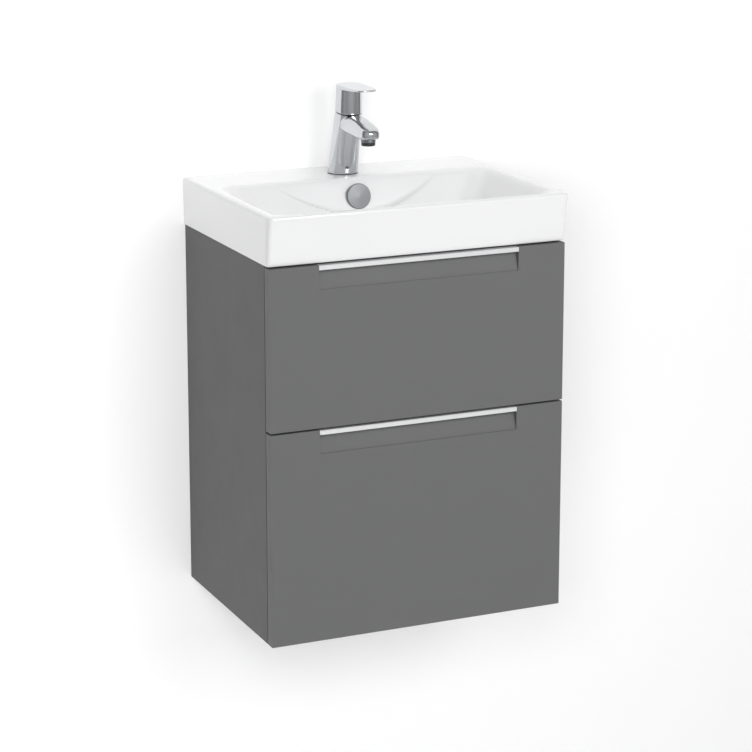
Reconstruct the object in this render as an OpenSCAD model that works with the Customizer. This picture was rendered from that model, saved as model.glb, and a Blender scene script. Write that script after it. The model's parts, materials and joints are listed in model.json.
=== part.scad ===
// Wall-hung vanity cabinet with two soft grey drawers, a ceramic basin and a chrome mixer tap.
// Millimetres. +Z up, +Y towards the wall, X to the right. The wall is the plane y = 0.
// Heights below are counted from the cabinet's bottom edge; placed() drops the model so that
// the origin lies midway between the two wall screws.

/* [Cabinet] */
// Outer width of the cabinet
cabinet_w = 490; // [400:10:800]
// Depth from the wall to the face of the drawer fronts
cabinet_d = 360; // [300:5:480]
// Height of the side panels
cabinet_h = 590; // [480:5:720]
// Thickness of the carcass boards
panel_t = 16; // [15:1:19]
// Height of the wall screws above the cabinet's bottom
hang_below_top = 42; // [40:1:48]

/* [Drawer fronts] */
// Thickness of the drawer fronts
front_t = 18; // [16:1:22]
// Height of the upper drawer front
upper_front_h = 250; // [200:5:300]
// Gap between the two fronts
front_gap = 3; // [2:0.5:5]
// Gap between the upper front and the basin
top_gap = 3; // [2:0.5:5]
// Gap between the fronts and the carcass
carcass_gap = 2; // [1:0.5:3]

/* [Handles] */
// Length of the handle profile
handle_len = 331; // [200:1:360]
// Height of the handle's bright lip
lip_h = 6; // [4:0.5:9]
// How far the lip stands proud of the front
lip_proud = 0.8; // [0.4:0.1:2]
// Height of the finger recess, from the top of the front
recess_h = 37; // [30:1:45]
// Depth of the finger recess at its top
recess_top_d = 9; // [7:0.5:11]
// Depth of the finger recess at its foot
recess_foot_d = 1.5; // [0.5:0.5:3]
// Wall of the handle profile
handle_t = 1.8; // [1.5:0.1:2.5]

/* [Drawers] */
// Free space between the back of the drawers and the wall
rear_space = 70; // [68:1:90]
// Height of the upper drawer's sides
upper_side_h = 103; // [80:1:105]
// Height of the lower drawer's sides
lower_side_h = 200; // [120:5:220]
// Thickness of a steel drawer side
side_t = 13; // [11:1:15]
// Thickness of the drawer floors and backs
floor_t = 16; // [12:1:16]
// Half width of the pipe cut-out in the upper drawer
cutout_half = 75; // [60:1:100]
// Depth of the pipe cut-out
cutout_d = 90; // [80:1:110]
// Wall of the plastic surround of the cut-out
surround_t = 3; // [2:0.5:5]

/* [Runners] */
// Height of the cabinet rail of a runner
rail_h = 36; // [30:1:40]
// Width of a runner, from the side panel to the drawer side
runner_w = 16; // [15:1:18]
// Thickness of the runner steel
steel_t = 1.5; // [1.2:0.1:2]
// Clearance between the sliding members
slide_gap = 0.6; // [0.4:0.1:1]

/* [Basin] */
// Overhang of the basin over each side of the cabinet
basin_over = 3.5; // [0:0.5:10]
// Depth of the basin at its rim
basin_d = 369; // [310:1:490]
// How far the basin's front face leans out from foot to rim
basin_lean = 12; // [4:1:20]
// Height of the basin's skirt, from the cabinet to the rim
basin_h = 76; // [60:1:100]
// Thickness of the ceramic
ceramic_t = 12; // [9:0.5:14]
// Depth of the tap deck
deck_d = 112; // [105:1:130]
// Width of the side rims
rim_w = 20; // [14:1:30]
// Width of the front rim
rim_front_w = 17; // [12:1:25]
// Depth of the bowl below the rim
bowl_depth = 118; // [90:1:125]
// Depth of the overflow niche measured along the bowl's back slope
niche_len = 66; // [50:1:85]
// Half width of the overflow niche
niche_half = 146; // [100:1:160]
// Diameter of the overflow cover
overflow_d = 40.5; // [30:0.5:45]
// Spacing of the basin's wall bolt holes
bolt_spacing = 280; // [200:10:300]
// Diameter of the basin's wall bolt holes
bolt_hole_d = 14; // [10:1:16]

/* [Tap] */
// Distance from the wall to the middle of the tap hole
tap_back = 65; // [55:1:75]
// Diameter of the tap's foot
tap_foot_d = 49; // [44:1:56]
// Diameter of the tap's column at the seam
tap_top_d = 43; // [36:1:46]
// How far the column leans forward from the deck to the seam
seam_out = 24; // [15:1:30]
// Height of the seam above the deck
seam_h = 101; // [95:1:110]
// Tilt of the lever's turning axis from upright
seam_tilt = 10; // [5:1:15]
// Height of the lever's top above the deck
lever_h = 145.5; // [140:0.5:160]
// Reach of the lever's paddle from the column's axis
paddle_len = 77; // [60:1:90]
// Reach of the spout from the tap hole's middle
spout_reach = 101; // [85:1:130]
// Height of the spout's mouth above the deck
spout_h = 59; // [56:1:70]

/* [Waste] */
// Outer diameter of the waste pipe
pipe_d = 32; // [32:1:40]
// Wall of the waste pipe
pipe_t = 1.8; // [1.5:0.1:3]
// Diameter of the waste hole in the basin
waste_hole_d = 46; // [44:0.5:50]
// Height of the wall outlet above the cabinet's bottom
outlet_z = 400; // [390:1:410]
// Lift of the waste plug
plug_lift = 7; // [5:0.5:9]

/* [Hidden] */
$fn = 64;
LEFT = -1;
RIGHT = 1;
eps = 0.01;          // overshoot of a cutting tool
fit = 0.06;          // radial clearance of a running or seated round fit

// Colours
grey_front = [0.45, 0.46, 0.455];
grey_board = [0.39, 0.39, 0.39];
white_ceramic = [0.95, 0.95, 0.96];
chrome = [0.72, 0.74, 0.76];
zinc = [0.66, 0.67, 0.68];
white_plastic = [0.9, 0.9, 0.9];
aluminium = [0.86, 0.87, 0.88];

// Carcass
half_w = cabinet_w / 2;
inner_x = half_w - panel_t;
carcass_d = cabinet_d - front_t - carcass_gap;
lower_front_h = cabinet_h - top_gap - upper_front_h - front_gap;
hang_z = cabinet_h - hang_below_top;
upper_top = cabinet_h - top_gap;
upper_foot = upper_top - upper_front_h;
back_gap = 20;                       // pipe space behind the upper back rail
rail_t = panel_t;
top_rail_h = 40;
middle_rail_h = 28;
upper_back_h = 78;
lower_back_h = 60;
top_rail_z = cabinet_h - 10 - top_rail_h;
middle_rail_z = lower_front_h - 18;
upper_back_z = hang_z - 28 - upper_back_h;
// each rail: front face y, foot z, height, side the cams are drilled from (+1 back, -1 front)
rails = [
    [-carcass_d, top_rail_z, top_rail_h, 1],
    [-carcass_d, middle_rail_z, middle_rail_h, 1],
    [-back_gap - rail_t, upper_back_z, upper_back_h, -1],
    [-rail_t, panel_t, lower_back_h, -1]
];
bottom_joints = [-carcass_d + 45, -70];   // y of the bottom board's dowels
cam_step = 32;                            // dowel to cam along the bottom board
dowel_r = 4;
dowel_in = 12;
dowel_len = 32;
cam_r = 7.5;
cam_h = 12.5;
cam_in = 24;
bolt_r = 3.5;
bolt_in = 10;

// Handles
flange_h = 9.5;                      // height of the handle's rear flange
handle_screw_drop = 5.7;             // handle screws below the handle's top
handle_screw_x = [-handle_len / 2 + 25, 0, handle_len / 2 - 25];

// Wall hangers
plate_w = 60;
plate_h = 40;
plate_t = 3;
plate_x = inner_x - 4 - plate_w / 2;
wall_screw_r = 4;
lip_out = 11;
lip_rise = 7;
hook_t = 3;
housing_w = 25;
housing_y = [-70, -22];
housing_z = [hang_z - 18, hang_z + 37];
hook_x = inner_x - housing_w / 2;
hook_rest_z = hang_z + plate_h / 2 + lip_rise;
hook_arm_h = 5;
hanger_screw_r = 2.5;
hanger_screw_len = 15;
hanger_screw_z = [housing_z[0] + 14, housing_z[0] + 40];

// Runners and drawers
drawer_len = carcass_d + carcass_gap - rear_space;
runner_y = -carcass_d + 4;
runner_len = drawer_len - 6;
travel = runner_len - 10;
side_x = inner_x - runner_w;              // outer face of a drawer side
upper_z = lower_front_h + front_gap + 15;  // foot of the upper drawer
lower_z = panel_t + 10;                   // foot of the lower drawer
rail_lift = 4;                            // foot of a runner above the drawer's foot
rib_drop = 2 * (steel_t + slide_gap);
floor_half = side_x - side_t;
skin_t = 1.2;
rail_screw_r = 2.5;
rail_screw_y = [runner_y + 33, runner_y + runner_len - 40];

// Basin
deck_z = cabinet_h + basin_h;
basin_half = half_w + basin_over;
foot_inset = 1;
edge_r = 7;
corner_r = 6;
skirt_t = 11;
bowl_half = basin_half - rim_w;
bowl_back = -deck_d;
bowl_front = -basin_d + rim_front_w;
bowl_floor_z = deck_z - bowl_depth;
bowl_floor_half = bowl_half - 102;
bowl_floor_back = bowl_back - 93;
bowl_floor_front = bowl_front + 60;
bowl_corner_r = 30;
niche_dip = 14.5;                    // greatest depth of the overflow niche
niche_turn = 0.8;                    // share of the way down at which the niche is deepest
niche_ease = 1.5;                    // power that rounds the niche's shelf and thins it to its ends
niche_reach = 0.97;                  // share of the half width that is cut, short of the pointed ends
floor_corner_r = 34;
waste_y = (bowl_floor_back + bowl_floor_front) / 2 + 12;
boss_t = 14;
basin_under_z = bowl_floor_z - boss_t;
slope = atan2(bowl_back - bowl_floor_back, bowl_depth);   // lean of the bowl's back from upright
overflow_s = 31.5;                   // middle of the overflow cover along the back slope
overflow_hole_r = 11;
duct_half = 11;                      // half width of the duct behind the overflow
overflow_lean = 11;                  // lean of the overflow cover from upright
overflow_proud = 3.5;                // how far the cover's seat stands in front of the niche
bolt_hole_z = cabinet_h + 44;

// Tap
tap_y = -tap_back;
tap_hole_r = 17.5;
seal_t = 1;
seam_gap = 0.8;
top_r = tap_top_d / 2;
cap_in_r = top_r - 6;
cap_in_len = 18;
cartridge_r = top_r - 5;
cartridge_len = 40;
nut_len = 6;
spindle_r = 9;
stem_in = 15.5;                      // length of the stem inside the cartridge
carrier_r = cap_in_r - 2;
pivot_y = 8.5;
pivot_s = 8;
pin_r = 2;
ear_r = 3.5;
lift_angle = 20;
aerator_r = 11;
aerator_len = 17;
aerator_proud = 9.5;        // how far the aerator stands below the spout
spout_tip_r = 16.5;
inlet_r = 4.2;
inlet_x = 9;
inlet_len = 22;
stud_r = 4;
stud_y = tap_y + 11;
hose_slot = 31;                      // width of the clamp plate's slot for the hoses
seam_y = tap_y - seam_out;
seam_z = deck_z + seam_h;
cap_y = seam_y - 2;                  // middle of the lever's top

// Waste and trap
waste_r = waste_hole_d / 2 - 1;
flange_r = waste_r + 9;
flange_t = 3;
gasket_t = 4;
waste_nut_t = 10;
pipe_r = pipe_d / 2;
waste_foot_z = basin_under_z - 30;
inlet_z = waste_foot_z - 15;
trap_y = -58;
bottle_r = 26;
bottle_z = [outlet_z - 52, outlet_z + 26];
trap_nut_r = pipe_r + 5;
trap_nut_len = 14;
plug_stem_r = 5;
spigot_len = 12;                     // free length of the outlet pipe in front of its stop ring

module placed() {
    translate([0, 0, -hang_z]) children();
}

// Right-hand pieces are drawn on +X and mirrored for the left
module on_side(side) {
    mirror([side < 0 ? 1 : 0, 0, 0]) children();
}

module both_sides() {
    for (side = [LEFT, RIGHT]) on_side(side) children();
}

// A rod along +X, +Y or +Z from a point
module rod_x(p, r, h) {
    translate(p) rotate([0, 90, 0]) cylinder(r = r, h = h);
}

module rod_y(p, r, h) {
    translate(p) rotate([-90, 0, 0]) cylinder(r = r, h = h);
}

module rod_z(p, r, h) {
    translate(p) cylinder(r = r, h = h);
}

// ---------- carcass ----------

function dowel_points() = concat(
    [for (y = bottom_joints) [y, panel_t / 2]],
    [for (r = rails) [r[0] + rail_t / 2, r[1] + r[2] * 0.25]]
);

function cam_points() = concat(
    [for (y = bottom_joints) [y + cam_step, panel_t / 2, 0]],
    [for (r = rails) [r[0] + rail_t / 2, r[1] + r[2] * 0.68, r[3]]]
);

module dowels(grow) {
    for (p = dowel_points())
        rod_x([inner_x + dowel_in - dowel_len - grow, p[0], p[1]], dowel_r + grow,
              dowel_len + 2 * grow);
}

module cam_bolts(grow) {
    for (p = cam_points())
        rod_x([inner_x - cam_in + cam_r + 0.3 - grow, p[0], p[1]], bolt_r + grow,
              cam_in - cam_r - 0.3 + bolt_in + 2 * grow);
}

// A cam is drilled up from below (0), or into the back (+1) or front (-1) face of a rail
module cams(grow) {
    for (p = cam_points()) {
        x = inner_x - cam_in;
        if (p[2] == 0) rod_z([x, p[0], -grow], cam_r + grow, cam_h + 2 * grow);
        if (p[2] > 0) rod_y([x, p[0] + rail_t / 2 - cam_h - grow, p[1]], cam_r + grow, cam_h + 2 * grow);
        if (p[2] < 0) rod_y([x, p[0] - rail_t / 2 - grow, p[1]], cam_r + grow, cam_h + 2 * grow);
    }
}

module carcass_bores() {
    both_sides() {
        dowels(0.1);
        cam_bolts(0.1);
        cams(0.1);
    }
}

module side_panel(side) {
    on_side(side) color(grey_board) difference() {
        translate([inner_x, -carcass_d, 0]) cube([panel_t, carcass_d, cabinet_h]);
        dowels(0.1);
        cam_bolts(0.1);
        rail_screw_bores();
    }
}

module bottom_panel() {
    color(grey_board) difference() {
        translate([-inner_x, -carcass_d, 0]) cube([2 * inner_x, carcass_d, panel_t]);
        carcass_bores();
    }
}

module cross_rail(r) {
    color(grey_board) difference() {
        translate([-inner_x, r[0], r[1]]) cube([2 * inner_x, rail_t, r[2]]);
        carcass_bores();
    }
}

module carcass_dowels() {
    color("burlywood") both_sides() dowels(0);
}

module cam_fittings() {
    color(zinc) both_sides() {
        cam_bolts(0);
        cams(0);
    }
}

// ---------- wall hangers ----------

module wall_plate() {
    difference() {
        union() {
            translate([plate_x - plate_w / 2, -plate_t, hang_z - plate_h / 2])
                cube([plate_w, plate_t, plate_h]);
            translate([plate_x - plate_w / 2, -lip_out, hang_z + plate_h / 2 - plate_t])
                cube([plate_w, lip_out, plate_t]);
            translate([plate_x - plate_w / 2, -lip_out, hang_z + plate_h / 2 - plate_t])
                cube([plate_w, plate_t, plate_t + lip_rise]);
        }
        rod_y([plate_x, -plate_t - eps, hang_z], wall_screw_r, plate_t + 2 * eps);
    }
}

module wall_plates() {
    color(zinc) both_sides() wall_plate();
}

module hanger_hook(side) {
    tongue_y = -7;
    on_side(side) color(zinc) union() {
        translate([hook_x - hook_t / 2, housing_y[0] + 16, hook_rest_z])
            cube([hook_t, -housing_y[0] - 16 - 4, hook_arm_h]);
        translate([hook_x - hook_t / 2, tongue_y, hook_rest_z - 5]) cube([hook_t, 3, 5 + eps]);
        translate([hook_x - hook_t / 2, housing_y[0] + 16, housing_z[0] + 6])
            cube([hook_t, 22, hook_rest_z - housing_z[0] - 6 + eps]);
    }
}

module hanger_housing(side) {
    slot = hook_t + 1;
    on_side(side) color(white_plastic) difference() {
        translate([inner_x - housing_w, housing_y[0], housing_z[0]])
            cube([housing_w, housing_y[1] - housing_y[0], housing_z[1] - housing_z[0]]);
        translate([hook_x - slot / 2, housing_y[0] + 10, housing_z[0] + 4])
            cube([slot, housing_y[1] - housing_y[0], hook_rest_z + hook_arm_h + 0.5 - housing_z[0] - 4]);
        for (z = hanger_screw_z)
            rod_y([hook_x, housing_y[0] - eps, z], hanger_screw_r + 0.1, hanger_screw_len + 0.5);
    }
}

module hanger_screws() {
    color("gainsboro") both_sides() for (z = hanger_screw_z) difference() {
        union() {
            rod_y([hook_x, housing_y[0] - 3, z], 4.5, 3);
            rod_y([hook_x, housing_y[0] - eps, z], hanger_screw_r, hanger_screw_len);
        }
        translate([hook_x - 3, housing_y[0] - 3 - eps, z - 0.6]) cube([6, 1.2, 1.2]);
        translate([hook_x - 0.6, housing_y[0] - 3 - eps, z - 3]) cube([1.2, 1.2, 6]);
    }
}

// ---------- runners ----------

// Channel section with its web on +X and its mouth towards the drawer
module channel(web_x, mouth_x, z, h, y, len) {
    translate([web_x - steel_t, y, z]) cube([steel_t, len, h]);
    for (lip_z = [z, z + h - steel_t])
        translate([mouth_x, y, lip_z]) cube([web_x - mouth_x, len, steel_t]);
}

module cabinet_rail(side, foot_z) {
    on_side(side) color(zinc) difference() {
        channel(inner_x, side_x + 4, foot_z + rail_lift, rail_h, runner_y, runner_len);
        for (y = rail_screw_y)
            rod_x([inner_x - steel_t - eps, y, foot_z + rail_lift + rail_h / 2], rail_screw_r + 0.1,
                  steel_t + 2 * eps);
    }
}

module slide_member(side, foot_z) {
    inset = steel_t + slide_gap;
    head = 1.4;
    on_side(side) color(zinc)
        channel(inner_x - inset - head, side_x + 2.5, foot_z + rail_lift + inset, rail_h - 2 * inset,
                runner_y, runner_len);
}

// Low-headed screws hold the cabinet rails, with their shanks in the side panels
module rail_screws() {
    head_r = 4.5;
    head_t = 1.2;
    shank = 12;
    color(zinc) both_sides() for (foot_z = [upper_z, lower_z], y = rail_screw_y) {
        z = foot_z + rail_lift + rail_h / 2;
        rod_x([inner_x - steel_t - head_t, y, z], head_r, head_t);
        rod_x([inner_x - steel_t - eps, y, z], rail_screw_r, steel_t + shank);
    }
}

module rail_screw_bores() {
    for (foot_z = [upper_z, lower_z], y = rail_screw_y)
        rod_x([inner_x - eps, y, foot_z + rail_lift + rail_h / 2], rail_screw_r + 0.1, 12.5);
}

// ---------- drawers ----------

// Folded steel side, open below, with the inner member of its runner on the outside
module drawer_side(side, foot_z, h) {
    rib_z = foot_z + rail_lift + rib_drop;
    rib_x = inner_x - 2 * (steel_t + slide_gap) - 1.4;
    on_side(side) color("gainsboro") union() {
        difference() {
            translate([floor_half, -carcass_d - carcass_gap, foot_z]) cube([side_t, drawer_len, h]);
            translate([floor_half + skin_t, -carcass_d - carcass_gap + skin_t, foot_z - eps])
                cube([side_t - 2 * skin_t, drawer_len - 2 * skin_t, h - skin_t]);
        }
        translate([side_x - eps, runner_y, rib_z]) cube([rib_x - side_x, runner_len, rail_h - 2 * rib_drop]);
    }
}

module drawer_front(foot_z, h) {
    color(grey_front) difference() {
        translate([-half_w, -cabinet_d, foot_z]) cube([cabinet_w, front_t, h]);
        handle_pocket(foot_z + h);
        handle_screw_bores(foot_z + h);
    }
}

// The pocket's back leans: shallow at its foot, deep under the lip
module handle_pocket(top_z) {
    translate([-handle_len / 2, 0, 0]) rotate([90, 0, 90]) linear_extrude(handle_len)
        polygon([
            [-cabinet_d - 1, top_z - recess_h],
            [-cabinet_d + recess_foot_d, top_z - recess_h],
            [-cabinet_d + recess_top_d, top_z - flange_h],
            [-cabinet_d + recess_top_d, top_z + 1],
            [-cabinet_d - 1, top_z + 1]
        ]);
}

// Aluminium profile: a lip in front, a roof, and a flange screwed to the pocket's back
module handle(top_z) {
    back_y = -cabinet_d + recess_top_d;
    color(aluminium) difference() {
        translate([-handle_len / 2, 0, 0]) rotate([90, 0, 90]) linear_extrude(handle_len)
            polygon([
                [-cabinet_d - lip_proud, top_z - 1.5 - lip_h],
                [-cabinet_d - lip_proud, top_z - 1.5],
                [-cabinet_d - lip_proud + 1, top_z - 0.5],
                [back_y, top_z - 0.5],
                [back_y, top_z - flange_h],
                [back_y - handle_t, top_z - flange_h],
                [back_y - handle_t, top_z - 0.5 - handle_t],
                [-cabinet_d - lip_proud + handle_t, top_z - 0.5 - handle_t],
                [-cabinet_d - lip_proud + handle_t, top_z - 1.5 - lip_h]
            ]);
        for (x = handle_screw_x)
            rod_y([x, back_y - handle_t - eps, top_z - handle_screw_drop], 1.85, handle_t + 2 * eps);
    }
}

module handle_screws(top_z) {
    back_y = -cabinet_d + recess_top_d;
    color("gainsboro") for (x = handle_screw_x) {
        rod_y([x, back_y - handle_t - 1.2, top_z - handle_screw_drop], 3.2, 1.2);
        rod_y([x, back_y - handle_t - eps, top_z - handle_screw_drop], 1.75, handle_t + 7);
    }
}

module handle_screw_bores(top_z) {
    for (x = handle_screw_x)
        rod_y([x, -cabinet_d + recess_top_d - eps, top_z - handle_screw_drop], 1.85, 7.5);
}

module upper_floor() {
    back_y = -rear_space;
    color("whitesmoke") difference() {
        translate([-floor_half, -carcass_d - carcass_gap, upper_z]) cube([2 * floor_half, drawer_len, floor_t]);
        translate([-cutout_half, back_y - cutout_d, upper_z - eps])
            cube([2 * cutout_half, cutout_d + eps, floor_t + 2 * eps]);
    }
}

// Two short backs, one each side of the pipe cut-out
module upper_back() {
    color("whitesmoke") both_sides()
        translate([cutout_half, -rear_space - floor_t, upper_z + floor_t])
            cube([floor_half - cutout_half, floor_t, upper_side_h - floor_t]);
}

// U-shaped plastic wall around the cut-out, standing on the floor
module upper_trap_surround() {
    z = upper_z + floor_t;
    h = upper_side_h - floor_t;
    len = cutout_d - floor_t;
    front_y = -rear_space - cutout_d;
    color(white_plastic) {
        both_sides() translate([cutout_half, front_y - surround_t, z])
            cube([surround_t, len + surround_t, h]);
        translate([-cutout_half - eps, front_y - surround_t, z])
            cube([2 * cutout_half + 2 * eps, surround_t, h]);
    }
}

module lower_floor() {
    color("whitesmoke") translate([-floor_half, -carcass_d - carcass_gap, lower_z])
        cube([2 * floor_half, drawer_len, floor_t]);
}

module lower_back() {
    color("whitesmoke") translate([-floor_half, -rear_space - floor_t, lower_z + floor_t])
        cube([2 * floor_half, floor_t, lower_side_h - floor_t]);
}

// ---------- basin ----------

// Skirt and deck as one block whose front leans out towards the rim
module basin_block() {
    foot_front = -basin_d + basin_lean;
    hull() {
        for (s = [LEFT, RIGHT]) {
            translate([s * (basin_half - foot_inset - corner_r), foot_front + corner_r, cabinet_h])
                cylinder(r = corner_r, h = 4, $fn = 32);
            translate([s * (basin_half - edge_r), -basin_d + edge_r, deck_z - edge_r])
                sphere(r = edge_r, $fn = 32);
            translate([s * (basin_half - 2), -2, cabinet_h]) cylinder(r = 2, h = 4, $fn = 32);
            translate([s * (basin_half - edge_r), -2, deck_z - edge_r]) rotate([90, 0, 0])
                translate([0, 0, -2]) cylinder(r = edge_r, h = 2, $fn = 32);
        }
    }
}

module basin_hollow() {
    side = basin_half - foot_inset - skirt_t;
    front_y = -basin_d + basin_lean + ceramic_t;
    translate([-side, front_y, cabinet_h - eps])
        cube([2 * side, -front_y - ceramic_t - 2, basin_h - ceramic_t + eps]);
}

// The bowl is a hull from the rim's opening down to its floor; grow thickens it for the outside
module bowl(grow, floor_drop) {
    top = deck_z + (grow > 0 ? -3 : 1);
    hull() {
        for (s = [LEFT, RIGHT]) {
            translate([s * (bowl_half - bowl_corner_r), bowl_front + bowl_corner_r, top - 1])
                cylinder(r = bowl_corner_r + grow * 0.6, h = 1, $fn = 48);
            translate([s * (bowl_half - bowl_corner_r), bowl_back - bowl_corner_r, top - 1])
                cylinder(r = bowl_corner_r + grow * 0.6, h = 1, $fn = 48);
            translate([s * (bowl_floor_half - floor_corner_r), bowl_floor_front + floor_corner_r,
                       bowl_floor_z - floor_drop])
                cylinder(r = floor_corner_r + grow, h = 1, $fn = 48);
            translate([s * (bowl_floor_half - floor_corner_r), bowl_floor_back - floor_corner_r,
                       bowl_floor_z - floor_drop])
                cylinder(r = floor_corner_r + grow, h = 1, $fn = 48);
        }
    }
}

// Cove cut into the bowl's back slope: straight along the deck, smile-shaped below.
// s runs down the slope, and the cut's depth is zero at the deck and at the crease.
function niche_chord(x) = niche_len * (1 - pow(x / niche_half, 2));
function niche_share(u) =
    u < niche_turn ? u / niche_turn : 1 - pow((u - niche_turn) / (1 - niche_turn), niche_ease);
function niche_depth(s, chord) =
    chord <= 0 ? 0 : niche_dip * pow(chord / niche_len, niche_ease) * niche_share(s / chord);
function niche_point(x, s, depth) = [
    x,
    bowl_back - s * sin(slope) + depth * cos(slope),
    deck_z - s * cos(slope) - depth * sin(slope)
];

// The space between the cove, moved back by grow, and a surface in front of the slope
module niche_solid(grow, proud) {
    across = 24;
    down = 8;
    xs = [for (i = [0:across]) niche_half * (2 * i / across - 1) * niche_reach];
    row = down + 1;
    under = [for (x = xs, j = [0:down])
        let (c = niche_chord(x)) niche_point(x, c * j / down, niche_depth(c * j / down, c) + grow)];
    over = [for (x = xs, j = [0:down]) niche_point(x, niche_chord(x) * j / down, -proud)];
    n = len(under);
    quads = [for (i = [0:across - 1], j = [0:down - 1]) let (a = i * row + j) [a, a + 1, a + row + 1, a + row]];
    rims = concat(
        [for (i = [0:across - 1]) [i * row, (i + 1) * row, (i + 1) * row + n, i * row + n]],
        [for (i = [0:across - 1]) let (a = i * row + down) [a, a + n, a + row + n, a + row]],
        [for (j = [0:down - 1]) [j, j + n, j + 1 + n, j + 1]],
        [for (j = [0:down - 1]) let (a = across * row + j) [a, a + 1, a + 1 + n, a + n]]
    );
    faces = concat([for (q = quads) [q[3], q[2], q[1], q[0]]], [for (q = quads) [for (v = q) v + n]], rims);
    polyhedron(points = concat(under, over), faces = faces, convexity = 4);
}

// A frame whose +Z runs out of the bowl at the overflow, with its origin just in front of the niche
module overflow_frame() {
    depth = niche_depth(overflow_s, niche_len) - overflow_proud;
    translate(niche_point(0, overflow_s, depth)) rotate([90 - overflow_lean, 0, 0]) children();
}

// Duct behind the bowl from the overflow to the waste hole
module overflow_duct(grow) {
    hull() {
        overflow_frame() translate([-duct_half - grow, -duct_half - grow, -26 - grow])
            cube([2 * (duct_half + grow), 2 * (duct_half + grow), 8]);
        translate([-duct_half - grow, waste_y + 16, basin_under_z + 5 - grow])
            cube([2 * (duct_half + grow), 14 + grow, 5 + grow]);
    }
}

module basin() {
    color(white_ceramic) difference() {
        union() {
            difference() {
                basin_block();
                basin_hollow();
            }
            bowl(ceramic_t * 0.9, boss_t);
            niche_solid(ceramic_t * 0.9, -2);
            overflow_duct(5);
        }
        bowl(0, 0);
        niche_solid(0, 6);
        overflow_duct(0);
        overflow_frame() translate([0, 0, -24]) cylinder(r = overflow_hole_r, h = 40);
        rod_z([0, tap_y, deck_z - ceramic_t - 4], tap_hole_r, ceramic_t + 8);
        rod_z([0, waste_y, basin_under_z - 1], waste_hole_d / 2, boss_t + 8);
        for (s = [LEFT, RIGHT])
            rod_y([s * bolt_spacing / 2, -ceramic_t - 4, bolt_hole_z], bolt_hole_d / 2, ceramic_t + 5);
    }
}

// Plain round cover, slightly crowned, with a clip sleeve in the overflow hole
module overflow_cover() {
    r = overflow_d / 2;
    color("silver") overflow_frame() rotate_extrude() polygon([
        [overflow_hole_r - 2.5, -14], [overflow_hole_r - 1, -14], [overflow_hole_r - 1, 0.6],
        [r, 0.6], [r, 2.2], [r - 1, 3.2], [0, 4], [0, 1.6], [overflow_hole_r - 2.5, 1.6]
    ]);
}

// ---------- tap ----------

// Frame of the cartridge and lever: its origin is the middle of the seam, +Z the turning axis
module column_frame() {
    translate([0, seam_y, seam_z]) rotate([seam_tilt, 0, 0]) children();
}

module tap_body() {
    tip_y = tap_y - spout_reach;
    tip_z = deck_z + spout_h + aerator_proud;
    color(chrome) difference() {
        union() {
            hull() {
                rod_z([0, tap_y, deck_z + seal_t], tap_foot_d / 2, 4);
                column_frame() translate([0, 0, -1]) cylinder(r = top_r, h = 1);
            }
            hull() {
                column_frame() translate([0, -5, -26]) cylinder(r = 13, h = 24);
                rod_z([0, tip_y, tip_z], spout_tip_r - 1.5, 1);
                rod_z([0, tip_y, tip_z + 2], spout_tip_r, 12);
                rod_z([0, tip_y + 1, tip_z + 17], spout_tip_r - 3, 1);
                rod_z([0, tip_y + 3, tip_z + 20], spout_tip_r - 8, 1);
            }
        }
        column_frame() translate([0, 0, -cartridge_len - nut_len])
            cylinder(r = cartridge_r + fit, h = cartridge_len + nut_len + 1);
        rod_z([0, tip_y, tip_z - 1], aerator_r + fit, aerator_len - aerator_proud + 1);
        rod_y([0, tip_y, tip_z + 9], 4, spout_reach - 30);
        for (s = [LEFT, RIGHT])
            rod_z([s * inlet_x, tap_y, deck_z + seal_t - 1], inlet_r, inlet_len + 1);
        for (s = [LEFT, RIGHT])
            rod_z([s * 5, tap_y - 5, deck_z + inlet_len - 4], 2.5, seam_h - cartridge_len - inlet_len - 1);
        rod_z([0, stud_y, deck_z + seal_t - 1], stud_r + fit, 16);
    }
}

module tap_base_seal() {
    color("dimgray") difference() {
        rod_z([0, tap_y, deck_z], tap_foot_d / 2 - 0.6, seal_t);
        rod_z([0, tap_y, deck_z - eps], tap_hole_r, seal_t + 2 * eps);
    }
}

module tap_aerator() {
    z = deck_z + spout_h;
    tip_y = tap_y - spout_reach;
    ring = 1.6;
    color("silver") difference() {
        rod_z([0, tip_y, z], aerator_r, aerator_len);
        rod_z([0, tip_y, z - eps], aerator_r - ring, 4);
        for (turn = [0:60:300])
            translate([0, tip_y, z]) rotate([0, 0, turn]) translate([5.5, 0, 0])
                cylinder(r = 1.6, h = aerator_len + 1);
    }
}

module tap_cartridge() {
    color("gainsboro") column_frame() translate([0, 0, -nut_len - cartridge_len]) difference() {
        cylinder(r = cartridge_r, h = cartridge_len);
        translate([0, 0, cartridge_len - 16]) cylinder(r = spindle_r + fit, h = 17);
        for (s = [LEFT, RIGHT]) translate([s * 5, 0, -1]) cylinder(r = 2.5, h = 12);
    }
}

module tap_cartridge_nut() {
    color("goldenrod") column_frame() translate([0, 0, -nut_len]) difference() {
        cylinder(r = cartridge_r, h = nut_len);
        translate([0, 0, -1]) cylinder(r = spindle_r + 2, h = nut_len + 2);
    }
}

// Turning stem of the cartridge with a round carrier and the lug that holds the lever's pin
module tap_spindle() {
    color("dimgray") column_frame() difference() {
        union() {
            translate([0, 0, -nut_len - stem_in]) cylinder(r = spindle_r, h = nut_len + stem_in + 2.5);
            translate([0, 0, 2]) cylinder(r = carrier_r, h = 2);
            translate([-4, pivot_y - ear_r, 3]) cube([8, 2 * ear_r, pivot_s - 3]);
            translate([-4, pivot_y, pivot_s]) rotate([0, 90, 0]) cylinder(r = ear_r, h = 8);
        }
        rod_x([-5, pivot_y, pivot_s], pin_r + fit, 10);
    }
}

module tap_lever_pin() {
    color(zinc) column_frame() rod_x([-9, pivot_y, pivot_s], pin_r, 18);
}

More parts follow.
